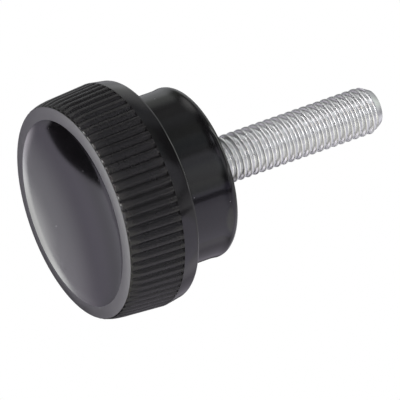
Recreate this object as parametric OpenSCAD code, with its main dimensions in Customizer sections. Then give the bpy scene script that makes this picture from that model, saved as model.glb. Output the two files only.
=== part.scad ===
// Knurled knob with a moulded-in screw stud.
// One black thermoset moulding: a fluted grip with a dished face, a plain
// collar behind the flutes and a round hub. A hexagon-head steel screw is
// moulded into it, so that its thread stands out of the hub.
// The knob stands on the rim of its face, with the stud pointing up along +Z.
// The origin is at the centre of the face rim.

/* [Grip] */
// Diameter over the ridges where the rounded shoulder ends
grip_front_d = 27.0; // [26.6:0.1:27.4]
// Diameter over the ridges at the collar, larger by the moulding draft
grip_back_d = 27.7; // [27.5:0.1:28.4]
// Height of the fluted grip above the face rim
grip_h = 7.1; // [5:0.1:8.5]
// Height over which the ridges round down to the face
shoulder_h = 2.0; // [1.2:0.1:3]
// Radius of the long curve of the shoulder
shoulder_r = 6.5; // [4:0.5:10]
// Radius of the corner between shoulder and face rim
corner_r = 0.35; // [0.2:0.05:0.6]

/* [Flutes] */
// Number of flutes round the grip
flute_count = 72; // [48:4:80]
// Depth of a flute below the ridges
flute_depth = 0.33; // [0.2:0.01:0.4]

/* [Dished face] */
// Diameter of the edge of the dish
dish_d = 23.0; // [20:0.1:24]
// Depth of the dish at its centre
dish_depth = 1.5; // [0.8:0.1:3]

/* [Collar] */
// Height of the plain collar behind the flutes
collar_h = 2.3; // [1.5:0.1:3.5]
// Diameter of the collar at its back edge
collar_back_d = 27.1; // [26:0.1:27.4]
// Radius of the collar's back edge
collar_edge_r = 0.5; // [0.2:0.1:0.8]

/* [Hub] */
// Diameter of the hub next to the collar
hub_d = 20.9; // [16:0.1:23]
// Diameter of the hub where its slight flare ends
hub_end_d = 21.1; // [21:0.1:21.6]
// Height of the hub behind the collar
hub_h = 7.3; // [6:0.1:10]
// Height of the slight flare
flare_h = 1.2; // [0.5:0.1:2]
// Radius of the hub's end edge
hub_edge_r = 0.85; // [0.3:0.05:1.5]
// Diameter of the countersink round the stud in the hub's end
mouth_d = 6.4; // [6:0.1:8]

/* [Stud] */
// Diameter over the screw thread
stud_d = 5.8; // [5.7:0.01:5.97]
// Length of thread that stands out of the hub
stud_l = 25; // [10:1:60]
// Distance from one ridge of the thread to the next
thread_pitch = 1; // [0.8:0.05:1.25]
// Diameter at the bottom of the thread
thread_root_d = 4.85; // [4.5:0.05:5.1]
// Diameter of the stud's flat tip
tip_d = 4.3; // [3.5:0.1:4.8]
// Length of the chamfer at the tip
tip_chamfer_l = 1.3; // [0.5:0.1:2]

/* [Moulded-in screw head] */
// Width across the flats of the hexagon head
head_af = 10; // [8:0.5:13]
// Thickness of the hexagon head
head_h = 4; // [3:0.1:4.5]
// Length of thread inside the hub
grip_l = 5; // [4:0.1:7]
// Diameter of the thread inside the hub, halfway between its crest and root
inner_thread_d = 5.35; // [5:0.05:5.4]
// Angle of the chamfer on the head's corners
head_chamfer_a = 30; // [15:1:35]

/* [Hidden] */

knob_black = "#232225";
zinc_silver = "#c3c5c6";
round_fn = 96; // Segments shown for every round form
crest_share = 1 / 8; // Share of a pitch that is flat on top of a ridge
root_share = 1 / 4; // Share of a pitch that is flat between two ridges
hex_sides = 6; // Flats of the screw head

// Radii and levels that follow from the diameters
front_r = grip_front_d / 2;
back_r = grip_back_d / 2;
dish_r = dish_d / 2;
hub_r = hub_d / 2;
hub_end_r = hub_end_d / 2;
collar_back_r = collar_back_d / 2;
collar_top = grip_h + collar_h;
knob_h = collar_top + hub_h;
tip_z = knob_h + stud_l;
head_top = knob_h - grip_l;

// The draft of the ridges, as an angle from the axis
draft_a = atan((back_r - front_r) / (grip_h - shoulder_h));

// Shoulder arc: tangent to the drafted ridges at shoulder_h
shoulder_centre = [front_r - shoulder_r * cos(draft_a), shoulder_h + shoulder_r * sin(draft_a)];
// Corner arc: tangent to the face rim and to the shoulder arc
corner_reach = shoulder_r - corner_r;
corner_rise = shoulder_centre.y - corner_r;
corner_centre = [shoulder_centre.x + sqrt(pow(corner_reach, 2) - pow(corner_rise, 2)), corner_r];
corner_end = shoulder_centre + (corner_centre - shoulder_centre) * shoulder_r / corner_reach;

// The dish is part of a sphere
dish_sphere_r = (pow(dish_r, 2) + pow(dish_depth, 2)) / (2 * dish_depth);

// The hub's flare is part of a large circle, tangent to the straight hub
flare_step = hub_end_r - hub_r;
flare_r = (pow(flare_h, 2) + pow(flare_step, 2)) / (2 * flare_step);
flare_bottom = knob_h - hub_edge_r - flare_h;

// A flute is cut by a square bar with one edge down, leaning with the draft
bar_side = 4 * flute_depth;
bar_run_out = 1; // Length by which the bar passes the face
flute_foot_r = front_r - shoulder_h * tan(draft_a) - flute_depth / cos(draft_a);

// Outline of one pitch of the thread, from the middle of one root
half_crest = thread_pitch * crest_share / 2;
half_root = thread_pitch * root_share / 2;
ridge_count = ceil(stud_l / thread_pitch);
ridge_outline = [
    [thread_root_d / 2, half_root],
    [stud_d / 2, thread_pitch / 2 - half_crest],
    [stud_d / 2, thread_pitch / 2 + half_crest],
    [thread_root_d / 2, thread_pitch - half_root]
];

// Half section of the grip, from the axis to the top of the ridges
module grip_section() {
    polygon([[0, 0], [corner_centre.x, 0], corner_end, [0, corner_end.y]]);
    translate(corner_centre) circle(corner_r, $fn = round_fn);
    intersection() {
        translate(shoulder_centre) circle(shoulder_r, $fn = round_fn);
        translate([0, corner_end.y]) square([grip_front_d, shoulder_h - corner_end.y]);
    }
    polygon([[0, shoulder_h], [front_r, shoulder_h], [back_r, grip_h], [0, grip_h]]);
}

// Half section of the plain collar, which narrows to its rounded back edge
module collar_section() {
    edge_z = collar_top - collar_edge_r;
    polygon([
        [0, grip_h], [back_r, grip_h], [collar_back_r, edge_z],
        [collar_back_r - collar_edge_r, collar_top], [0, collar_top]
    ]);
    translate([collar_back_r - collar_edge_r, edge_z]) circle(collar_edge_r, $fn = round_fn);
}

// Half section of the hub, with its flare and rounded end
module hub_section() {
    edge_z = knob_h - hub_edge_r;
    difference() {
        translate([0, collar_top]) square([hub_end_r, edge_z - collar_top]);
        translate([hub_r, collar_top]) square([flare_step, flare_bottom - collar_top]);
        translate([hub_r + flare_r, flare_bottom]) circle(flare_r, $fn = round_fn);
    }
    translate([0, edge_z]) square([hub_end_r - hub_edge_r, hub_edge_r]);
    translate([hub_end_r - hub_edge_r, edge_z]) circle(hub_edge_r, $fn = round_fn);
}

// One cutter for each flute; they run out through the shoulder at the face
module flute_cutters() {
    for (i = [0 : flute_count - 1])
        rotate([0, 0, i * 360 / flute_count])
            translate([flute_foot_r, 0, 0])
                rotate([0, draft_a, 0])
                    translate([0, 0, -bar_run_out])
                        rotate([0, 0, -45])
                            cube([bar_side, bar_side, grip_h / cos(draft_a) + bar_run_out]);
}

// Hexagon head with chamfered corners, its flat side up
module screw_head() {
    corner_d = head_af / cos(180 / hex_sides);
    cone_rise = (corner_d - head_af) / 2 * tan(head_chamfer_a);
    intersection() {
        translate([0, 0, head_top - head_h])
            cylinder(h = head_h, d = corner_d, $fn = hex_sides);
        union() {
            translate([0, 0, head_top - head_h])
                cylinder(h = cone_rise, d1 = head_af, d2 = corner_d, $fn = round_fn);
            translate([0, 0, head_top - head_h + cone_rise])
                cylinder(h = head_h - cone_rise, d = 2 * head_af, $fn = round_fn);
        }
    }
}

// The screw's thread inside the hub, and its head
module moulded_in_end() {
    screw_head();
    translate([0, 0, head_top]) cylinder(h = grip_l, d = inner_thread_d, $fn = round_fn);
}

// Countersink round the stud, which clears the first turn of the thread
module mouth_cutter() {
    mouth_h = (mouth_d - inner_thread_d) / 2;
    translate([0, 0, knob_h - mouth_h])
        cylinder(h = mouth_h, d1 = inner_thread_d, d2 = mouth_d, $fn = round_fn);
}

// The black moulding, with its flutes, its dish and the form of the screw in it
module knob_body() {
    color(knob_black)
        difference() {
            rotate_extrude($fn = round_fn) {
                grip_section();
                collar_section();
                hub_section();
            }
            flute_cutters();
            translate([0, 0, dish_depth - dish_sphere_r]) sphere(dish_sphere_r, $fn = round_fn);
            moulded_in_end();
            mouth_cutter();
        }
}

// Half section of the thread outside the hub, as one ring for each pitch
module thread_section() {
    ridges = [
        for (i = [0 : ridge_count - 1], place = ridge_outline)
            [place.x, knob_h + i * thread_pitch + place.y]
    ];
    thread_top = knob_h + ridge_count * thread_pitch;
    polygon(concat(
        [[0, knob_h], [thread_root_d / 2, knob_h]], ridges,
        [[thread_root_d / 2, thread_top], [0, thread_top]]
    ));
}

// Half section of the screw blank outside the hub, with its chamfered tip
module blank_section() {
    polygon([
        [0, knob_h], [stud_d / 2, knob_h], [stud_d / 2, tip_z - tip_chamfer_l],
        [tip_d / 2, tip_z], [0, tip_z]
    ]);
}

// The screw: head and thread inside, thread and chamfered tip outside
module threaded_stud() {
    color(zinc_silver) {
        moulded_in_end();
        rotate_extrude($fn = round_fn)
            intersection() {
                thread_section();
                blank_section();
            }
    }
}

knob_body();
threaded_stud();
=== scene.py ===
"""Knurled knob with a moulded-in screw stud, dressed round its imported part.

The knob stands on the rim of its dished face, with the stud pointing up along +Z, as its part does.
Sizes are in millimetres in the classes, and MM turns them to metres.
"""

import logging
import math
from collections.abc import Callable
from dataclasses import dataclass
from enum import Enum
from functools import partial
from itertools import pairwise
from typing import Any

import bmesh
import bpy
from mathutils import Matrix, Vector


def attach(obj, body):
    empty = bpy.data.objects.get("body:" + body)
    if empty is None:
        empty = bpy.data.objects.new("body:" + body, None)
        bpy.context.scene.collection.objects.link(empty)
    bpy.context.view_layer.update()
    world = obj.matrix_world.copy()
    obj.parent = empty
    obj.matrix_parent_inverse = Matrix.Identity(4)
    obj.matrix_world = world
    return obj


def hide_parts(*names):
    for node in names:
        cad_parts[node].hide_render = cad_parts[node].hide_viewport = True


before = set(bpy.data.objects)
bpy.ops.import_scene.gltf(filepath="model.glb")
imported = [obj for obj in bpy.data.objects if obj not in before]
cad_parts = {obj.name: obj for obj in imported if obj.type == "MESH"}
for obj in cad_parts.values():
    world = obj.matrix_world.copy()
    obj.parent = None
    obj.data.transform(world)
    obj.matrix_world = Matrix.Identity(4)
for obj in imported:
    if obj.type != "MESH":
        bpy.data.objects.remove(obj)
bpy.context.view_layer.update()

MM = 0.001
AXIS = (0, 0, 1)
CENTRE = (0, 0, 0)
WELD = 2e-7  # Metres below which two vertices of one piece are the same vertex
SMOOTH_A = 38.0  # Degrees between two faces, up to which their edge shades smooth
NOISE_ENDS = {"From Min": 0.3, "From Max": 0.7}  # Nearly all of a noise lies between these
BODY = "root"

Outline = list[tuple[float, float]]  # Points of a half section as (radius, height), in mm
Sockets = dict[str | int, Any]

log = logging.getLogger("knurled_knob")


# ---------------------------------------------------------------- modelling


def deselect_all() -> None:
    """Leave object mode's selection empty, because the loaded part is selected."""
    if bpy.context.object and bpy.context.object.mode != "OBJECT":
        bpy.ops.object.mode_set(mode="OBJECT")
    bpy.ops.object.select_all(action="DESELECT")


def activate(piece: bpy.types.Object) -> None:
    """Make a piece the only selected and the active one.

    Args:
        piece: The object that the next operator acts on.
    """
    deselect_all()
    piece.select_set(True)
    bpy.context.view_layer.objects.active = piece


def drawn_line(name: str, outline: Outline) -> bpy.types.Object:
    """Draw a half section as a chain of vertices in the XZ plane.

    Args:
        name: Name of the new object and of its mesh.
        outline: The chain's points.

    Returns:
        The new object, in edit mode, with the chain's last vertex selected.
    """
    deselect_all()
    bpy.ops.mesh.primitive_plane_add(size=MM)
    piece = bpy.context.object
    piece.name = piece.data.name = name
    bpy.ops.object.mode_set(mode="EDIT")
    bpy.ops.mesh.merge(type="CENTER")
    radius, height = outline[0]
    bpy.ops.transform.translate(value=(radius * MM, 0, height * MM))
    for (r_from, z_from), (r_to, z_to) in pairwise(outline):
        step = ((r_to - r_from) * MM, 0, (z_to - z_from) * MM)
        bpy.ops.mesh.extrude_region_move(TRANSFORM_OT_translate={"value": step})
    return piece


def pick(piece: bpy.types.Object, wanted: Callable[[Vector], bool]) -> None:
    """Select the vertices that pass a test, and no others.

    Args:
        piece: A mesh object in edit mode.
        wanted: Says whether the vertex at a place is selected.
    """
    mesh = bmesh.from_edit_mesh(piece.data)
    for vertex in mesh.verts:
        vertex.select_set(wanted(vertex.co))
    mesh.select_flush_mode()
    bmesh.update_edit_mesh(piece.data)


def weld_and_orient() -> None:
    """Merge the doubles of the mesh in edit mode and point its faces outwards."""
    bpy.ops.mesh.select_all(action="SELECT")
    bpy.ops.mesh.remove_doubles(threshold=WELD)
    bpy.ops.mesh.normals_make_consistent(inside=False)


def turned_solid(name: str, outline: Outline, steps: int) -> bpy.types.Object:
    """Turn a half section round the Z axis, as on a lathe.

    Args:
        name: Name of the new object.
        outline: Half section that starts and ends on the axis.
        steps: Number of steps in the full turn.

    Returns:
        The closed solid, in object mode.
    """
    piece = drawn_line(name, outline)
    bpy.ops.mesh.select_all(action="SELECT")
    bpy.ops.mesh.spin(steps=steps, angle=math.tau, center=CENTRE, axis=AXIS)
    weld_and_orient()
    bpy.ops.object.mode_set(mode="OBJECT")
    return piece


class Joining(Enum):
    """How a piece is combined with a tool body."""

    CUT_OUT = "DIFFERENCE"
    KEEP_COMMON = "INTERSECT"
    FUSE = "UNION"


def combine(piece: bpy.types.Object, tool: bpy.types.Object, how: Joining, keep_tool: bool = False) -> None:
    """Combine a piece with a tool body by an exact boolean, and apply it.

    Args:
        piece: The mesh object that is changed.
        tool: The other body.
        how: What becomes of the two bodies.
        keep_tool: Whether the tool stays in the scene.
    """
    activate(piece)
    cut = piece.modifiers.new("boolean", "BOOLEAN")
    cut.operation, cut.solver, cut.object = how.value, "EXACT", tool
    bpy.ops.object.modifier_apply(modifier=cut.name)
    if not keep_tool:
        bpy.data.objects.remove(tool, do_unlink=True)


def arc(centre: tuple[float, float], radius: float, start: float, end: float, steps: int) -> Outline:
    """Points of an arc in a half section.

    Args:
        centre: Radius and height of the arc's centre.
        radius: The arc's own radius.
        start: First angle in degrees, 0 pointing away from the axis and 90 up.
        end: Last angle in degrees.
        steps: Number of chords.

    Returns:
        The points with both ends.
    """
    angles = [math.radians(start + (end - start) * i / steps) for i in range(steps + 1)]
    return [(centre[0] + radius * math.cos(a), centre[1] + radius * math.sin(a)) for a in angles]


# ---------------------------------------------------------------- materials


def linear(colour: str) -> tuple[float, float, float, float]:
    """Turn an sRGB hex colour to linear red, green, blue and alpha."""
    channels = [int(colour[i : i + 2], 16) / 255 for i in (1, 3, 5)]
    return (*[c / 12.92 if c <= 0.04045 else ((c + 0.055) / 1.055) ** 2.4 for c in channels], 1.0)


def node(
    tree: bpy.types.NodeTree, kind: str, settings: dict[str, Any] | None = None, sockets: Sockets | None = None
) -> bpy.types.Node:
    """Add a node with its settings and links.

    Args:
        tree: The node tree.
        kind: The node's type, without the word ShaderNode.
        settings: Values for the node's own properties.
        sockets: For each input, a value, or the output socket that feeds it.

    Returns:
        The new node.
    """
    made = tree.nodes.new("ShaderNode" + kind)
    for key, value in (settings or {}).items():
        setattr(made, key, value)
    for key, value in (sockets or {}).items():
        if isinstance(value, bpy.types.NodeSocket):
            tree.links.new(value, made.inputs[key])
        else:
            made.inputs[key].default_value = value
    return made


def new_material(name: str) -> tuple[bpy.types.Material, bpy.types.NodeTree]:
    """Make an empty node material.

    Args:
        name: Name of the material.

    Returns:
        The material and its node tree.
    """
    material = bpy.data.materials.new(name)
    material.use_nodes = True
    material.node_tree.nodes.clear()
    return material, material.node_tree


class MouldSurface(Enum):
    """How a part of the mould was finished, which sets how the moulding shines."""

    POLISHED = "polished"
    SATIN = "satin"
    FLUTED = "fluted"


@dataclass(frozen=True)
class BlackThermoset:
    """Black phenolic moulding: very dark, with clear grey reflections where the mould was polished."""

    surface: MouldSurface
    roughness: float
    colour: str = "#100f11"
    ior: float = 1.6
    specular: float = 0.5  # Lower where a fine texture swallows part of the reflection
    ripple: float = 6.0  # Width in mm of the slow sink marks that bend a reflection
    ripple_height: float = 0.004
    grain: float = 0.12  # Width in mm of the mould's fine texture
    grain_height: float = 0.0
    haze: float = 4.0  # Width in mm of the patches that are a little duller
    haze_share: float = 0.1  # Share by which their roughness differs
    dust: str = "#8d8d90"
    dust_gap: float = 2.0  # Distance in mm from one speck of dust to the next
    dust_size: float = 0.16  # Width in mm of the largest specks
    dust_core: float = 0.4  # Share of a speck's half width that shows fully

    def material(self) -> bpy.types.Material:
        """Build the material.

        Returns:
            The material, whose patterns lie in the piece's own millimetres.
        """
        material, tree = new_material(f"black_thermoset_{self.surface.value}")
        place = node(tree, "TexCoord").outputs["Object"]
        sink = node(tree, "TexNoise", sockets={"Vector": place, "Scale": 1 / (self.ripple * MM), "Detail": 1.0})
        bump = {"Height": sink.outputs["Fac"], "Strength": 1.0, "Distance": self.ripple_height * MM}
        relief = node(tree, "Bump", sockets=bump)
        if self.grain_height:
            grain = node(tree, "TexNoise", sockets={"Vector": place, "Scale": 1 / (self.grain * MM), "Detail": 2.0})
            bump = {"Height": grain.outputs["Fac"], "Strength": 1.0, "Distance": self.grain_height * MM}
            relief = node(tree, "Bump", sockets={**bump, "Normal": relief.outputs["Normal"]})
        haze = node(tree, "TexNoise", sockets={"Vector": place, "Scale": 1 / (self.haze * MM), "Detail": 3.0})
        ends = {
            **NOISE_ENDS,
            "To Min": self.roughness * (1 - self.haze_share),
            "To Max": self.roughness * (1 + self.haze_share),
        }
        spread = node(tree, "MapRange", sockets={"Value": haze.outputs["Fac"], **ends})
        # Far apart, a speck of dust shows light grey
        cells = node(tree, "TexVoronoi", sockets={"Vector": place, "Scale": 1 / (self.dust_gap * MM)})
        reach = self.dust_size / 2 / self.dust_gap
        ends = {"From Min": reach * self.dust_core, "From Max": reach, "To Min": 1.0, "To Max": 0.0}
        speck = node(tree, "MapRange", sockets={"Value": cells.outputs["Distance"], **ends})
        tones = {"Factor": speck.outputs["Result"], 6: linear(self.colour), 7: linear(self.dust)}
        tone = node(tree, "Mix", {"data_type": "RGBA"}, tones)
        skin = node(
            tree, "BsdfPrincipled",
            sockets={
                "Base Color": tone.outputs[2], "IOR": self.ior, "Specular IOR Level": self.specular,
                "Roughness": spread.outputs["Result"], "Normal": relief.outputs["Normal"],
            },
        )
        node(tree, "OutputMaterial", sockets={"Surface": skin.outputs["BSDF"]})
        return material


@dataclass(frozen=True)
class ZincPlate:
    """Bright zinc on rolled steel: a light grey metal whose glints break up on the plating's fine pits."""

    light: str = "#ecedee"
    dull: str = "#d6d8da"
    roughness: float = 0.31
    pit: float = 0.4  # Width in mm of the unevenness that the rolling leaves
    pit_height: float = 0.0008
    cloud: float = 0.9  # Width in mm of the plating's duller patches
    cloud_share: float = 0.2  # Share by which their roughness differs

    def material(self) -> bpy.types.Material:
        """Build the material.

        Returns:
            The material, whose patterns lie in the piece's own millimetres.
        """
        material, tree = new_material("zinc_plated_rolled_steel")
        place = node(tree, "TexCoord").outputs["Object"]
        grit = {"Vector": place, "Scale": 1 / (self.pit * MM), "Detail": 4.0, "Roughness": 0.6}
        pits = node(tree, "TexNoise", sockets=grit)
        bump = {"Height": pits.outputs["Fac"], "Strength": 1.0, "Distance": self.pit_height * MM}
        relief = node(tree, "Bump", sockets=bump)
        clouds = node(tree, "TexNoise", sockets={"Vector": place, "Scale": 1 / (self.cloud * MM), "Detail": 3.0})
        tones = {"Factor": clouds.outputs["Fac"], 6: linear(self.dull), 7: linear(self.light)}
        tone = node(tree, "Mix", {"data_type": "RGBA"}, tones)
        ends = {
            **NOISE_ENDS,
            "To Min": self.roughness * (1 + self.cloud_share),
            "To Max": self.roughness * (1 - self.cloud_share),
        }
        spread = node(tree, "MapRange", sockets={"Value": clouds.outputs["Fac"], **ends})
        skin = node(
            tree, "BsdfPrincipled",
            sockets={
                "Base Color": tone.outputs[2], "Metallic": 1.0,
                "Roughness": spread.outputs["Result"], "Normal": relief.outputs["Normal"],
            },
        )
        node(tree, "OutputMaterial", sockets={"Surface": skin.outputs["BSDF"]})
        return material


# ---------------------------------------------------------------- the part


@dataclass
class ThreadedStud:
    """The screw that is moulded into the knob: hexagon head, rolled M6 x 1 thread and chamfered tip."""

    crest_d: float = 5.8
    root_d: float = 5.0
    pitch: float = 1.0
    flank_a: float = 30.0  # Angle of a flank from the plane across the axis
    crest_r: float = 0.22
    root_r: float = 0.22
    head_top: float = 11.7
    head_h: float = 4.0
    head_af: float = 10.0
    head_chamfer_a: float = 30.0
    tip_z: float = 41.7
    tip_d: float = 4.3
    tip_chamfer_l: float = 1.3
    tip_r: float = 0.15
    steps: int = 64  # Steps in one turn of the thread
    least_step: float = 1e-4  # Points of the thread's section lie further apart than this
    head_sides: int = 6
    head_steps: int = 96  # Steps round the cone that chamfers the head
    rod_spare: float = 0.5  # Distance in mm by which the blank passes the thread's crests
    head_spare: float = 0.01  # Distance in mm by which the round head passes its corners
    spare_turns: int = 2  # Turns of thread beyond each end, which are trimmed off
    crest_z: float = 32.76  # Height of a crest ...
    crest_bearing: float = -177.5  # ... on this bearing, in degrees
    finish: ZincPlate = ZincPlate()

    def rib(self) -> Outline:
        """Half section of one pitch of the thread.

        Returns:
            The points from one root's middle to the next, with crest and root rounded.
        """
        slope = math.radians(self.flank_a)
        crest, root = self.crest_d / 2, self.root_d / 2
        half_turn = math.degrees(math.pi / 2 - slope)
        # Half the width at which the flanks would meet the crest's and the root's cylinders
        pitch_r = (crest + root) / 2
        crest_half = self.pitch / 4 - (crest - pitch_r) * math.tan(slope)
        root_half = self.pitch / 4 - (pitch_r - root) * math.tan(slope)
        ease_c = self.crest_r * math.tan(math.radians(half_turn) / 2)
        ease_r = self.root_r * math.tan(math.radians(half_turn) / 2)
        rise_r = min(ease_r, root_half)
        tip_centre = (crest - self.crest_r, self.pitch / 2 - crest_half + ease_c)
        foot_centre = (root + self.root_r, root_half - rise_r)
        # Where the root is all round, its arc starts in the root's middle, which is there already
        lower = [(root, 0.0)]
        lower += [(r, z) for r, z in arc(foot_centre, self.root_r, 180, 180 - half_turn, 3) if z > self.least_step]
        lower += arc(tip_centre, self.crest_r, -half_turn, 0, 3)
        lower += [(crest, self.pitch / 2)]
        upper = [(r, self.pitch - z) for r, z in reversed(lower[:-1])]
        return lower + upper

    def build(self) -> bpy.types.Object:
        """Model the screw.

        Returns:
            The finished screw, one closed mesh.
        """
        screw = drawn_line("zinc_screw_stud", self.rib())
        bpy.ops.object.mode_set(mode="OBJECT")
        # The first root lies below the head's top; the phase puts a crest where it belongs
        first = self.crest_z + self.pitch / 2 - self.pitch * self.crest_bearing / 360
        turns_down = math.ceil((first - self.head_top) / self.pitch) + self.spare_turns
        start = first - turns_down * self.pitch
        turns = math.ceil((self.tip_z - start) / self.pitch) + self.spare_turns
        activate(screw)
        thread = screw.modifiers.new("thread", "SCREW")
        thread.axis, thread.angle, thread.screw_offset = "Z", math.tau, self.pitch * MM
        thread.iterations, thread.steps, thread.render_steps = turns, self.steps, self.steps
        thread.use_merge_vertices, thread.merge_threshold = True, WELD
        bpy.ops.object.modifier_apply(modifier=thread.name)
        bpy.ops.object.mode_set(mode="EDIT")
        bpy.ops.mesh.select_all(action="SELECT")
        bpy.ops.transform.translate(value=(0, 0, start * MM))
        weld_and_orient()
        under_head = self.head_top - self.pitch / 2
        for height, upwards in ((under_head, -1), (self.tip_z + self.pitch / 2, 1)):
            bpy.ops.mesh.select_all(action="SELECT")
            bpy.ops.mesh.bisect(
                plane_co=(0, 0, height * MM), plane_no=(0, 0, upwards), use_fill=True, clear_outer=True,
                threshold=WELD / 10,
            )
        weld_and_orient()
        bpy.ops.object.mode_set(mode="OBJECT")
        combine(screw, self.blank(), Joining.KEEP_COMMON)
        combine(screw, self.head(), Joining.FUSE)
        return screw

    def blank(self) -> bpy.types.Object:
        """Model the chamfered rod that the thread is trimmed to.

        Returns:
            The rod, a closed solid.
        """
        rod, tip = self.crest_d / 2 + self.rod_spare, self.tip_d / 2
        rise = self.tip_chamfer_l / (self.crest_d / 2 - tip)
        cone_a = math.degrees(math.atan2(1, rise))
        centre = (tip - self.tip_r * math.tan(math.radians(90 - cone_a) / 2), self.tip_z - self.tip_r)
        outline = [(0, self.head_top - self.pitch), (rod, self.head_top - self.pitch)]
        outline += [(rod, self.tip_z - (rod - tip) * rise)]
        outline += arc(centre, self.tip_r, cone_a, 90, 4) + [(0, self.tip_z)]
        return turned_solid("blank", outline, self.steps * 2)

    def head(self) -> bpy.types.Object:
        """Model the hexagon head, with its corners chamfered on the outer side.

        Returns:
            The head, a closed solid.
        """
        half_side_a = math.pi / self.head_sides
        corner_r = self.head_af / 2 / math.cos(half_side_a)
        cone_rise = (corner_r - self.head_af / 2) * math.tan(math.radians(self.head_chamfer_a))
        low, outer_r = self.head_top - self.head_h, corner_r + self.head_spare
        cone = [(0, low), (self.head_af / 2, low), (outer_r, low + cone_rise), (outer_r, self.head_top)]
        head = turned_solid("head", cone + [(0, self.head_top)], self.head_steps)
        deselect_all()
        bpy.ops.mesh.primitive_cylinder_add(
            vertices=self.head_sides, radius=corner_r * MM, depth=2 * self.head_h * MM,
            location=(0, 0, (low + self.head_h / 2) * MM), rotation=(0, 0, half_side_a),
        )
        combine(head, bpy.context.object, Joining.KEEP_COMMON)
        return head

    def dress(self, screw: bpy.types.Object) -> None:
        """Give the screw its plating and smooth shading, and set what it stands for.

        Args:
            screw: The finished screw.
        """
        screw.data.materials.clear()
        screw.data.materials.append(self.finish.material())
        activate(screw)
        bpy.ops.object.shade_smooth_by_angle(angle=math.radians(SMOOTH_A))
        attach(screw, BODY)
        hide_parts("threaded_stud")


@dataclass
class KnobMoulding:
    """The black moulding: dished face, fluted grip, plain collar and hub."""

    grip_front_d: float = 27.0
    grip_back_d: float = 27.7
    grip_h: float = 7.1
    shoulder_h: float = 2.0
    shoulder_r: float = 6.5
    rim_end_d: float = 26.1  # Diameter of the smooth rim, over which the ridges stand proud
    rim_fall: float = 0.16  # Height by which the rim falls back from the dish to the ridges
    rim_round: float = 0.05  # Radius of the rim's outer edge
    ridge_end_a: float = 52.0  # Slope in degrees of the ridges' front ends
    ridge_end_h: float = 0.38  # Height up to which the ridges are polished
    flute_count: int = 72
    flute_depth: float = 0.28
    face_share: float = 0.6  # Share of the depth that a flute still has at the face
    flute_step: float = 0.04  # Length of the slope at the flutes' closed end
    crest_ease: float = 0.07  # Rounding of the ridges' edges and the flutes' bottoms
    ease_reach: float = 0.3  # Distance under a flute's wall up to which a ridge is still eased
    least_press: float = 1e-5  # A smaller movement is left out
    skin: float = 0.01  # Distance under the ridges within which a vertex belongs to them
    dish_d: float = 23.0
    bowl_slope: float = 12.9  # Slope in degrees where the dish's even bowl ends
    cove_slope: float = 20.5  # Slope in degrees where the steeper cove round the bowl ends
    cove_w: float = 1.0  # Width of that cove
    dish_edge_r: float = 0.15
    collar_h: float = 2.3
    collar_back_d: float = 27.1
    collar_edge_r: float = 0.5
    hub_d: float = 20.9
    hub_end_d: float = 21.1
    hub_h: float = 7.3
    flare_h: float = 1.2
    hub_edge_r: float = 0.85
    hub_foot_r: float = 0.2
    mouth_d: float = 6.4
    mouth_foot_d: float = 5.35
    columns: int = 12  # Steps round one flute
    end_rows: tuple[float, ...] = (0.2, 0.45, 0.7, 1.0)  # Shares of a ridge's front end at which a row lies
    grip_rows: tuple[float, ...] = (0.3, 0.65, 1.0)  # The same on the straight grip
    row_gap: float = 0.15  # Distance from an eased edge to the row that keeps the face beside it evenly shaded
    rim_row: float = 0.1  # The same from the dish's edge, on the rim
    end_row: float = 0.2  # The same from the hub's rounded edge, on its end face
    hub_rows: tuple[float, float] = (0.6, 0.3)  # Distances of the hub's rows from its foot and its flare
    collar_row: float = 0.03  # Distance by which the collar's last row stands outside its edge
    collar_step: float = 0.002  # Distance by which its first row stands inside the ridges
    polished: BlackThermoset = BlackThermoset(MouldSurface.POLISHED, 0.09)
    satin: BlackThermoset = BlackThermoset(MouldSurface.SATIN, 0.36, specular=0.65)
    fluted: BlackThermoset = BlackThermoset(
        MouldSurface.FLUTED, 0.28, "#1b1a1c", specular=0.33, grain=0.18, grain_height=0.05
    )

    def draft(self) -> float:
        """Angle of the ridges from the axis, in radians."""
        return math.atan((self.grip_back_d - self.grip_front_d) / 2 / (self.grip_h - self.shoulder_h))

    def shoulder_centre(self) -> tuple[float, float]:
        """Find the centre of the shoulder's long curve.

        Returns:
            Its radius and height.
        """
        draft = self.draft()
        radius = self.grip_front_d / 2 - self.shoulder_r * math.cos(draft)
        return radius, self.shoulder_h + self.shoulder_r * math.sin(draft)

    def face_outline(self) -> Outline:
        """Half section of the dish, its edge and the rim round it.

        Returns:
            The points from the axis outwards.
        """
        bowl_a, cove_a = math.radians(self.bowl_slope), math.radians(self.cove_slope)
        ease = self.dish_edge_r * math.tan(cove_a / 2)
        cove_end = self.dish_d / 2 - ease * math.cos(cove_a)
        bowl_end = cove_end - self.cove_w
        # Heights are worked out upwards from the rim
        cove_z = ease * math.sin(cove_a)
        cove_r = self.cove_w / (math.sin(cove_a) - math.sin(bowl_a))
        bowl_z = cove_z + cove_r * (math.cos(bowl_a) - math.cos(cove_a))
        bowl_r = bowl_end / math.sin(bowl_a)
        depth = bowl_z + bowl_r * (1 - math.cos(bowl_a))
        dish = arc((0, depth - bowl_r), bowl_r, 90, 90 - self.bowl_slope, 16)
        cove_centre = (bowl_end - cove_r * math.sin(bowl_a), bowl_z - cove_r * math.cos(bowl_a))
        dish += arc(cove_centre, cove_r, 90 - self.bowl_slope, 90 - self.cove_slope, 6)[1:]
        lip_x = self.dish_d / 2 + ease
        lip = arc((lip_x, self.dish_edge_r), self.dish_edge_r, 270 - self.cove_slope, 270, 4)[1:]
        return [(0.0, depth)] + dish[1:] + lip + [(lip_x + self.rim_row, 0.0)]

    def grip_outline(self) -> Outline:
        """Half section over the ridges.

        Returns:
            The points from the rim's outer edge to the flutes' closed ends.
        """
        draft = self.draft()
        front_r = self.grip_front_d / 2
        centre_r, centre_z = self.shoulder_centre()
        rim_r = self.rim_end_d / 2
        slope = math.radians(self.ridge_end_a)
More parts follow.
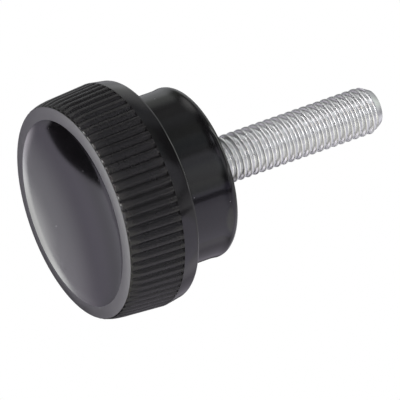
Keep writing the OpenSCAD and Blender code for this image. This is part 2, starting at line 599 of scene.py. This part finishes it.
        # Length of the ridges' front ends, from the rim to the shoulder's long curve
        rim_z = self.rim_fall + self.rim_round
        across, fall = rim_r - centre_r, centre_z - rim_z
        back = across * math.cos(slope) - fall * math.sin(slope)
        length = math.sqrt(back**2 + self.shoulder_r**2 - across**2 - fall**2) - back
        outline = arc((rim_r - self.rim_round, rim_z), self.rim_round, -90, 0, 3)
        for part in self.end_rows:
            reach = length * part
            outline.append((rim_r + reach * math.cos(slope), rim_z + reach * math.sin(slope)))
        meet_a = math.degrees(math.asin((outline[-1][1] - centre_z) / self.shoulder_r))
        outline += arc((centre_r, centre_z), self.shoulder_r, meet_a, -math.degrees(draft), 8)[1:]
        end_z = self.grip_h - self.flute_step
        for part in self.grip_rows:
            z = self.shoulder_h + (end_z - self.shoulder_h) * part
            outline.append((front_r + (z - self.shoulder_h) * math.tan(draft), z))
        return outline

    def back_outline(self) -> Outline:
        """Half section of the collar and the hub.

        Returns:
            The points from the flutes' closed ends to the axis.
        """
        back_r, edge_r, foot_r = self.grip_back_d / 2, self.collar_edge_r, self.hub_foot_r
        collar_r, hub_r, hub_end_r = self.collar_back_d / 2, self.hub_d / 2, self.hub_end_d / 2
        collar_top = self.grip_h + self.collar_h
        top = collar_top + self.hub_h
        # Collar, with a row right behind the flutes
        outline = [
            (back_r, self.grip_h), (back_r - self.collar_step, self.grip_h + self.flute_step),
            (collar_r + self.collar_row, collar_top - edge_r - self.row_gap),
        ]
        outline += arc((collar_r - edge_r, collar_top - edge_r), edge_r, 0, 90, 6)
        outline += [(collar_r - edge_r - self.row_gap, collar_top), (hub_r + foot_r + self.row_gap, collar_top)]
        outline += arc((hub_r + foot_r, collar_top + foot_r), foot_r, 270, 180, 4)
        # Hub, whose flare is part of a large circle
        step = (self.hub_end_d - self.hub_d) / 2
        flare_r = (self.flare_h**2 + step**2) / (2 * step)
        flare_a = math.degrees(math.asin(self.flare_h / flare_r))
        bottom = top - self.hub_edge_r - self.flare_h
        outline += [(hub_r, collar_top + self.hub_rows[0]), (hub_r, bottom - self.hub_rows[1])]
        outline += arc((hub_r + flare_r, bottom), flare_r, 180, 180 - flare_a, 5)
        outline += arc((hub_end_r - self.hub_edge_r, top - self.hub_edge_r), self.hub_edge_r, 0, 90, 8)
        # End face with its countersink
        mouth, mouth_foot = self.mouth_d / 2, self.mouth_foot_d / 2
        sunk = top - mouth + mouth_foot
        outline += [(hub_end_r - self.hub_edge_r - self.end_row, top), (mouth, top), (mouth_foot, sunk), (0.0, sunk)]
        return outline

    def flute_floor(self, height: float) -> float:
        """Find the radius of the flutes' bottom, which follows the ridges and is shallower at the face.

        Args:
            height: Height above the face rim.

        Returns:
            The radius in mm, which is never inside the smooth rim.
        """
        if height < self.shoulder_h:
            centre_r, centre_z = self.shoulder_centre()
            ridge_r = centre_r + math.sqrt(self.shoulder_r**2 - (centre_z - height) ** 2)
        else:
            ridge_r = self.grip_front_d / 2 + (height - self.shoulder_h) * math.tan(self.draft())
        share = self.face_share + (1 - self.face_share) * min(1.0, height / self.shoulder_h)
        return max(self.rim_end_d / 2, ridge_r - self.flute_depth * share)

    def pressed_radius(self, ridge_r: float, height: float, across: float) -> float:
        """Find the radius of the fluted skin at one place.

        Args:
            ridge_r: Radius over the ridges at this height.
            height: Height above the face rim.
            across: Distance from the middle of the flute.

        Returns:
            The radius in mm: a flute of 90 degrees, with its edges and bottom eased.
        """
        wall = self.flute_floor(height) + math.hypot(across, self.crest_ease) - self.crest_ease
        gap = ridge_r - wall
        return ridge_r - (gap + math.hypot(gap, self.crest_ease)) / 2 if gap > -self.ease_reach else ridge_r

    def in_column(self, ridge_r: float, height: float, turn: float, place: Vector) -> bool:
        """Say whether a vertex of the skin lies at one height and at one turn from a flute's middle.

        Args:
            ridge_r: Radius over the ridges at this height, in mm.
            height: Height above the face rim, in mm.
            turn: Angle from the middle of the nearest flute, in radians.
            place: The vertex, in metres.

        Returns:
            Whether it is one of the vertices that are pressed together.
        """
        width = math.tau / self.flute_count
        bearing = abs(math.atan2(place.y, place.x))
        off = min(abs(bearing - turn), abs(width - bearing - turn))
        on_skin = place.xy.length > (ridge_r - self.skin) * MM
        return off < width / 100 and abs(place.z - height * MM) < WELD and on_skin

    def press_flute(self, sector: bpy.types.Object, ridges: Outline) -> None:
        """Press one flute, half on each side, into a smooth sector of the skin.

        Args:
            sector: The sector, in edit mode.
            ridges: The rows of the fluted part, as points over the ridges.
        """
        width = math.tau / self.flute_count
        for ridge_r, height in ridges:
            for column in range(self.columns // 2 + 1):
                turn = width * column / self.columns
                radius = self.pressed_radius(ridge_r, height, ridge_r * turn)
                if ridge_r - radius < self.least_press:
                    continue
                pick(sector, partial(self.in_column, ridge_r, height, turn))
                scale = radius / ridge_r
                bpy.ops.transform.resize(value=(scale, scale, 1), center_override=(0, 0, height * MM))

    def build(self, screw: bpy.types.Object) -> bpy.types.Object:
        """Model the moulding round the screw.

        Args:
            screw: The finished screw, whose form the moulding takes.

        Returns:
            The finished moulding, one closed mesh.
        """
        ridges = self.grip_outline()
        width = math.tau / self.flute_count
        body = drawn_line("black_moulded_knob", self.face_outline() + ridges + self.back_outline())
        bpy.ops.mesh.select_all(action="SELECT")
        bpy.ops.mesh.spin(steps=self.columns, angle=width, center=CENTRE, axis=AXIS)
        self.press_flute(body, [place for place in ridges if place[1] > self.rim_fall + self.rim_round])
        bpy.ops.mesh.select_all(action="SELECT")
        bpy.ops.mesh.spin(
            steps=self.flute_count - 1, angle=math.tau - width, dupli=True, center=CENTRE, axis=AXIS
        )
        weld_and_orient()
        bpy.ops.object.mode_set(mode="OBJECT")
        combine(body, screw, Joining.CUT_OUT, keep_tool=True)
        return body

    def dress(self, body: bpy.types.Object) -> None:
        """Give the moulding its three mould finishes and smooth shading, and set what it stands for.

        Args:
            body: The finished moulding.
        """
        body.data.materials.clear()
        finishes = (self.polished, self.satin, self.fluted)
        surfaces = [finish.surface for finish in finishes]
        for finish in finishes:
            body.data.materials.append(finish.material())
        rim = self.dish_d / 2
        for face in body.data.polygons:
            place = face.center / MM
            on_grip = math.hypot(place.x, place.y) > rim and place.z < self.grip_h
            surface = MouldSurface.POLISHED
            if on_grip and place.z < self.rim_fall + self.rim_round:
                surface = MouldSurface.SATIN
            elif on_grip and place.z > self.ridge_end_h:
                surface = MouldSurface.FLUTED
            face.material_index = surfaces.index(surface)
        activate(body)
        bpy.ops.object.shade_smooth_by_angle(angle=math.radians(SMOOTH_A))
        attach(body, BODY)
        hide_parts("knob_body")


# ---------------------------------------------------------------- the studio


@dataclass
class LongLensCamera:
    """A long lens that looks at the dished face from the side and a little below."""

    lens: float = 900.0
    distance: float = 1183.4
    tilt: float = 65.0  # Degrees between the line of sight and the knob's axis
    bearing: float = -87.5  # Degrees round +Z of the side that is seen
    roll: float = 19.5  # Degrees by which the stud points up in the picture
    aim_z: float = 22.656  # Height on the axis of the point that is looked past
    aside: float = -4.351
    up: float = -5.273
    sensor_w: float = 36.0
    sight: float = 100.0  # Metres up to which the camera sees

    def axes(self) -> Matrix:
        """Work out the camera's directions.

        Returns:
            A rotation matrix with right, up and back as its columns.
        """
        tilt, bearing, roll = (math.radians(a) for a in (self.tilt, self.bearing, self.roll))
        near = Vector((math.cos(bearing), math.sin(bearing), 0))
        axis = Vector(AXIS)
        back = near * math.sin(tilt) - axis * math.cos(tilt)
        along = axis * math.sin(tilt) + near * math.cos(tilt)
        across = near.cross(axis)
        right = along * math.cos(roll) - across * math.sin(roll)
        upward = along * math.sin(roll) + across * math.cos(roll)
        return Matrix((right, upward, back)).transposed()

    def build(self) -> bpy.types.Object:
        """Add the camera and make it the scene's own.

        Returns:
            The camera.
        """
        axes = self.axes()
        offset = axes @ Vector((self.aside, self.up, self.distance))
        deselect_all()
        bpy.ops.object.camera_add(location=(Vector((0, 0, self.aim_z)) + offset) * MM, rotation=axes.to_euler())
        camera = bpy.context.object
        camera.name = "long_lens_camera"
        camera.data.lens = self.lens
        camera.data.sensor_width = self.sensor_w
        camera.data.clip_end = self.sight
        bpy.context.scene.camera = camera
        return camera


@dataclass(frozen=True)
class Facing:
    """A place far from the knob, where a card faces its middle and fades evenly towards its edge."""

    towards: tuple[float, float, float]  # Direction from the knob, as right, up and back of the camera
    width: float  # Degrees that the card fills from side to side
    height: float
    turn: float = 0.0  # Degrees by which it is turned about its own line to the knob
    distance: float = 0.8  # Metres

    def place(self, axes: Matrix, aim: Vector) -> tuple[Matrix, tuple[float, float]]:
        """Work out where a card hangs here.

        Args:
            axes: The camera's axes.
            aim: The point that the card faces.

        Returns:
            Its place and turn, and its half width and half height in metres.
        """
        away = (axes @ Vector(self.towards)).normalized()
        side = (axes.col[1].cross(away)).normalized()
        facing = Matrix((side, away.cross(side), away)).transposed().to_4x4()
        half = tuple(self.distance * math.tan(math.radians(a / 2)) for a in (self.width, self.height))
        turned = facing @ Matrix.Rotation(math.radians(self.turn), 4, "Z")
        return Matrix.Translation(aim + away * self.distance) @ turned, half

    def fade(self, tree: bpy.types.NodeTree, core: float, middle: float) -> bpy.types.NodeSocket:
        """Make a value that holds in a card's core and falls to nothing at its edge.

        Args:
            tree: The material's node tree.
            core: Share of the card's half size that works fully.
            middle: The value in the core.

        Returns:
            The socket that gives the value.
        """
        place = node(tree, "TexCoord").outputs["Object"]
        reach = node(tree, "VectorMath", {"operation": "LENGTH"}, {0: place})
        ends = {"Value": reach.outputs["Value"], "From Min": core, "From Max": 1.0, "To Min": middle, "To Max": 0.0}
        return node(tree, "MapRange", {"interpolation_type": "SMOOTHERSTEP"}, ends).outputs["Result"]


@dataclass(frozen=True)
class AlongStud:
    """A place along the stud for a strip with straight edges, so far past the hub that the hub doesn't mirror it."""

    bearing: float  # Degrees round the stud, from the camera's side upwards
    breadth: float  # Degrees that the strip fills, seen from the stud
    low_z: float = 28.5  # Height in mm where it starts ...
    high_z: float = 56.0  # ... and ends
    reach: float = 25.0  # Distance in mm from the stud's axis
    end_core: float = 0.94  # Share of its half length that glows fully

    def place(self, axes: Matrix, aim: Vector) -> tuple[Matrix, tuple[float, float]]:
        """Work out where the strip hangs.

        Args:
            axes: The camera's axes.
            aim: The knob's middle, which the strip doesn't depend on.

        Returns:
            Its place and turn, and its half length and half breadth in metres.
        """
        axis, back = Vector(AXIS), axes.col[2]
        near = (back - axis * back.dot(axis)).normalized()
        bearing = math.radians(self.bearing)
        away = near * math.cos(bearing) + near.cross(axis) * math.sin(bearing)
        spot = (axis * (self.low_z + self.high_z) / 2 + away * self.reach) * MM
        facing = Matrix((axis, away.cross(axis), away)).transposed().to_4x4()
        half_breadth = self.reach * MM * math.tan(math.radians(self.breadth / 2))
        return Matrix.Translation(spot) @ facing, ((self.high_z - self.low_z) / 2 * MM, half_breadth)

    def fade(self, tree: bpy.types.NodeTree, core: float, middle: float) -> bpy.types.NodeSocket:
        """Make a value that falls off softly across the strip and quickly at its ends.

        Args:
            tree: The material's node tree.
            core: Share of the strip's half breadth that works fully.
            middle: The value in the core.

        Returns:
            The socket that gives the value.
        """
        place = node(tree, "SeparateXYZ", sockets={0: node(tree, "TexCoord").outputs["Object"]})
        value = middle
        for side, full in (("X", self.end_core), ("Y", core)):
            off = node(tree, "Math", {"operation": "ABSOLUTE"}, {0: place.outputs[side]}).outputs[0]
            ends = {"Value": off, "From Min": full, "From Max": 1.0, "To Min": value, "To Max": 0.0}
            value = node(tree, "MapRange", {"interpolation_type": "SMOOTHERSTEP"}, ends).outputs["Result"]
        return value


@dataclass
class StudioCard:
    """A flat card that the camera doesn't see, and that does its work softly."""

    name: str
    spot: Facing | AlongStud
    core: float = 0.3  # Share of its half size that works fully

    def hang(self, axes: Matrix, aim: Vector, material: bpy.types.Material) -> bpy.types.Object:
        """Hang the card where only reflections meet it.

        Args:
            axes: The camera's axes.
            aim: The point that the card faces.
            material: What the card is made of.

        Returns:
            The card.
        """
        place, half = self.spot.place(axes, aim)
        deselect_all()
        bpy.ops.mesh.primitive_plane_add(size=2, location=place.to_translation(), rotation=place.to_euler())
        card = bpy.context.object
        card.name = self.name
        card.scale = (*half, 1)
        card.data.materials.append(material)
        card.visible_camera = False
        card.visible_shadow = False
        return card


@dataclass
class LightPanel(StudioCard):
    """A diffused panel of light. It is clear to rays from behind, so that panels add up."""

    strength: float = 1.0  # In times the white of the backdrop
    colour: str = "#ffffff"

    def build(self, axes: Matrix, aim: Vector) -> bpy.types.Object:
        """Hang the panel with its glow.

        Args:
            axes: The camera's axes.
            aim: The knob's middle.

        Returns:
            The panel.
        """
        material, tree = new_material(f"glow_{self.name}")
        glow = {"Color": linear(self.colour), "Strength": self.spot.fade(tree, self.core, self.strength)}
        light = node(tree, "Emission", sockets=glow)
        clear = node(tree, "BsdfTransparent")
        both = node(tree, "AddShader", sockets={0: light.outputs["Emission"], 1: clear.outputs["BSDF"]})
        node(tree, "OutputMaterial", sockets={"Surface": both.outputs["Shader"]})
        return self.hang(axes, aim, material)


@dataclass
class BlackFlag(StudioCard):
    """A black velvet flag in front of the panels. It puts a dark shape into the gloss."""

    density: float = 1.0

    def build(self, axes: Matrix, aim: Vector) -> bpy.types.Object:
        """Hang the flag, which takes nothing from the light on the matt surfaces.

        Args:
            axes: The camera's axes.
            aim: The knob's middle.

        Returns:
            The flag.
        """
        material, tree = new_material(f"velvet_{self.name}")
        velvet = node(tree, "BsdfDiffuse", sockets={"Color": linear("#000000")})
        clear = node(tree, "BsdfTransparent")
        share = self.spot.fade(tree, self.core, self.density)
        both = node(tree, "MixShader", sockets={0: share, 1: clear.outputs["BSDF"], 2: velvet.outputs["BSDF"]})
        node(tree, "OutputMaterial", sockets={"Surface": both.outputs["Shader"]})
        flag = self.hang(axes, aim, material)
        flag.visible_diffuse = False
        return flag


@dataclass
class Studio:
    """A pale floor far below, white all round for the camera, and soft cards."""

    white: str = "#ffffff"
    floor_drop: float = 2.0  # Metres
    floor_size: float = 8.0  # Metres
    fill: float = 0.06  # Light from all round, in times the white that the camera sees
    middle_z: float = 12.0  # Height in mm of the point on the axis that the cards face
    cards: tuple[LightPanel | BlackFlag, ...] = ()

    def build(self, axes: Matrix) -> None:
        """Set up the studio.

        Args:
            axes: The camera's axes.
        """
        self.air()
        bpy.context.scene.view_settings.view_transform = "Standard"
        bpy.context.scene.cycles.transparent_max_bounces = 2 * len(self.cards)
        deselect_all()
        bpy.ops.mesh.primitive_plane_add(size=self.floor_size, location=(0, 0, -self.floor_drop))
        floor = bpy.context.object
        floor.name = "pale_floor"
        floor.data.materials.append(self.paper())
        floor.visible_diffuse = floor.visible_glossy = floor.visible_transmission = floor.visible_shadow = False
        aim = Vector((0, 0, self.middle_z * MM))
        for card in self.cards:
            card.build(axes, aim)

    def air(self) -> None:
        """Make the world: white where the camera looks past the knob, and a faint fill for the rest."""
        world = bpy.data.worlds.new("studio_air")
        world.use_nodes = True
        tree = world.node_tree
        tree.nodes.clear()
        rays = node(tree, "LightPath")
        fill = node(tree, "Background", sockets={"Color": linear(self.white), "Strength": self.fill})
        seen = node(tree, "Background", sockets={"Color": linear(self.white), "Strength": 1.0})
        sockets = {0: rays.outputs["Is Camera Ray"], 1: fill.outputs["Background"], 2: seen.outputs["Background"]}
        both = node(tree, "MixShader", sockets=sockets)
        node(tree, "OutputWorld", sockets={"Surface": both.outputs["Shader"]})
        bpy.context.scene.world = world

    def paper(self) -> bpy.types.Material:
        """Make evenly lit white paper.

        Returns:
            The floor's material.
        """
        material, tree = new_material("lit_paper")
        light = node(tree, "Emission", sockets={"Color": linear(self.white), "Strength": 1.0})
        node(tree, "OutputMaterial", sockets={"Surface": light.outputs["Emission"]})
        return material


CARDS = (
    LightPanel("key_strip", Facing((-0.94, -0.333, -0.079), 36, 70), core=0.1, strength=4.85, colour="#fefffc"),
    LightPanel("key_halo", Facing((-0.927, -0.328, -0.183), 60, 90), core=0.1, strength=1.17, colour="#fbfbff"),
    LightPanel("low_wing", Facing((-0.635, -0.675, -0.376), 40, 36), core=0.1, strength=3.78, colour="#fdf6ff"),
    LightPanel("high_key_wing", Facing((-0.984, -0.03, -0.174), 30, 30), core=0.1, strength=1.99, colour="#fafff8"),
    LightPanel("low_key_wing", Facing((-0.784, -0.596, -0.174), 30, 30), core=0.1, strength=2.83, colour="#f9faff"),
    LightPanel("face_wall", Facing((-0.695, -0.246, -0.676), 80, 80), core=0.5, strength=0.297, colour="#f3efff"),
    LightPanel("face_glow", Facing((-0.843, -0.299, -0.447), 60, 70), strength=0.267, colour="#ede0ff"),
    LightPanel("low_right_wall", Facing((0.898, -0.428, -0.101), 90, 110), strength=0.572, colour="#fcf9ff"),
    LightPanel("low_rear_wall", Facing((0.48, -0.463, -0.745), 70, 60), core=0.5, strength=0.344, colour="#f5edff"),
    LightPanel("right_front_wall", Facing((0.767, 0.272, 0.581), 44, 44), core=0.5, strength=0.379, colour="#f5f4ff"),
    LightPanel("low_front_card", Facing((0.33, -0.63, 0.704), 60, 60), strength=1.12, colour="#feffec"),
    LightPanel("ceiling", Facing((-0.334, 0.943, 0), 60, 60), strength=0.878, colour="#fffefd"),
    LightPanel("rear_top_card", Facing((-0.345, 0.675, -0.652), 80, 60), core=0.4, strength=0.0848, colour="#f3ffeb"),
    LightPanel("high_rear_card", Facing((0.275, 0.744, -0.609), 60, 60), strength=0.51, colour="#fdfeff"),
    LightPanel("high_back_card", Facing((-0.166, 0.47, -0.867), 60, 50), strength=0.373, colour="#f7f8ff"),
    LightPanel("high_left_card", Facing((-0.944, 0.139, -0.298), 60, 60), core=0.2, strength=0.506, colour="#fcf2ff"),
    LightPanel("tip_card", Facing((0.816, 0.498, -0.295), 60, 60), core=0.2, strength=0.761, colour="#fafff8"),
    LightPanel("high_front_spot", Facing((-0.356, 0.405, 0.842), 28, 28), strength=2.7, colour="#fff4f2"),
    LightPanel("high_right_spot", Facing((0.21, 0.604, 0.769), 28, 28), strength=1.31, colour="#f0f3ff"),
    LightPanel("top_front_spot", Facing((-0.251, 0.708, 0.661), 28, 28), strength=2.42, colour="#fff8fb"),
    LightPanel("middle_front_spot", Facing((0.065, 0.235, 0.97), 28, 28), strength=1.62, colour="#fcffdd"),
    LightPanel("side_front_spot", Facing((-0.35, 0.089, 0.932), 28, 28), strength=1.5, colour="#fff0f2"),
    LightPanel("front_right_spot", Facing((0.358, 0.339, 0.87), 28, 28), strength=0.746, colour="#f8e6ff"),
    LightPanel("front_spot", Facing((0.033, -0.094, 0.995), 28, 28), strength=5.94, colour="#fffbf9"),
    LightPanel("high_side_spot", Facing((-0.626, 0.572, 0.529), 28, 28), strength=3.44, colour="#fffcfb"),
    LightPanel("low_front_spot", Facing((-0.184, -0.385, 0.905), 28, 28), strength=1.81, colour="#f1f0ff"),
    LightPanel("front_right_card", Facing((0.566, 0.2, 0.8), 50, 50), core=0.05, strength=0.205, colour="#e6f6ff"),
    LightPanel("stud_under_card", AlongStud(-130, 30), core=0.4, strength=0.523),
    LightPanel("stud_low_window", AlongStud(-15, 12), core=0.4, strength=1.05),
    LightPanel("stud_upper_window", AlongStud(39, 12), core=0.4, strength=1.92),
    LightPanel("stud_far_under_card", AlongStud(-130, 40, low_z=56.0, high_z=95.0), core=0.4, strength=0.576),
    LightPanel("stud_far_window", AlongStud(30, 30, low_z=56.0, high_z=95.0), core=0.4, strength=1.38),
    LightPanel("hub_front_card", Facing((0.769, 0.106, 0.63), 36, 36), strength=0.105, colour="#ffffdd"),
    LightPanel("hub_low_card", Facing((0.815, -0.137, 0.562), 26, 26), core=0.2, strength=0.442, colour="#f8fbff"),
    LightPanel("hub_top_card", Facing((0.358, 0.928, -0.108), 40, 40), core=0.2, strength=0.182, colour="#f5f7ff"),
    LightPanel("hub_high_card", Facing((0.189, 0.977, 0.101), 30, 30), core=0.2, strength=0.147, colour="#f9feff"),
    LightPanel("floor_right_card", Facing((0.504, -0.806, 0.309), 90, 90), core=0.8, strength=0.217, colour="#d6c8ff"),
    LightPanel("floor_left_card", Facing((-0.206, -0.93, 0.303), 90, 90), core=0.8, strength=0.33, colour="#fff9f2"),
    LightPanel("floor_middle_card", Facing((0.228, -0.952, 0.205), 70, 70), core=0.8, strength=0.236, colour="#f5ffc6"),
    LightPanel("hub_side_card", Facing((0.531, 0.718, 0.45), 30, 30), core=0.2, strength=0.193, colour="#edfaff"),
    LightPanel("hub_upper_card", Facing((0.398, 0.867, 0.302), 30, 30), core=0.2, strength=0.143, colour="#f8fff6"),
    LightPanel("hub_middle_card", Facing((0.661, 0.555, 0.505), 26, 26), core=0.2, strength=0.225, colour="#f8fbff"),
    LightPanel("ridge_end_card", Facing((-0.396, -0.193, 0.898), 14, 14), core=0.2, strength=7.0),
    LightPanel("ridge_end_high_card", Facing((-0.597, 0.321, 0.734), 14, 14), core=0.2, strength=7.0),
    LightPanel("ridge_end_top_card", Facing((-0.734, 0.608, 0.303), 14, 14), core=0.2, strength=7.0),
    BlackFlag("dish_flag", Facing((-0.446, -0.256, -0.886), 41, 9.8, turn=-23.4, distance=0.6), core=0.85),
    BlackFlag("hub_flag", Facing((0.832, -0.31, 0.46), 50, 8.5, turn=30.6, distance=0.6), core=0.5, density=0.65),
)


def main() -> None:
    """Build the camera, the studio and the two pieces, and report each."""
    logging.basicConfig(level=logging.INFO, format="%(message)s")
    camera = LongLensCamera()
    camera.build()
    Studio(cards=CARDS).build(camera.axes())
    stud = ThreadedStud()
    screw = stud.build()
    stud.dress(screw)
    log.info("%s: %d faces", screw.name, len(screw.data.polygons))
    moulding = KnobMoulding()
    body = moulding.build(screw)
    moulding.dress(body)
    log.info("%s: %d faces", body.name, len(body.data.polygons))


if __name__ == "__main__":
    main()
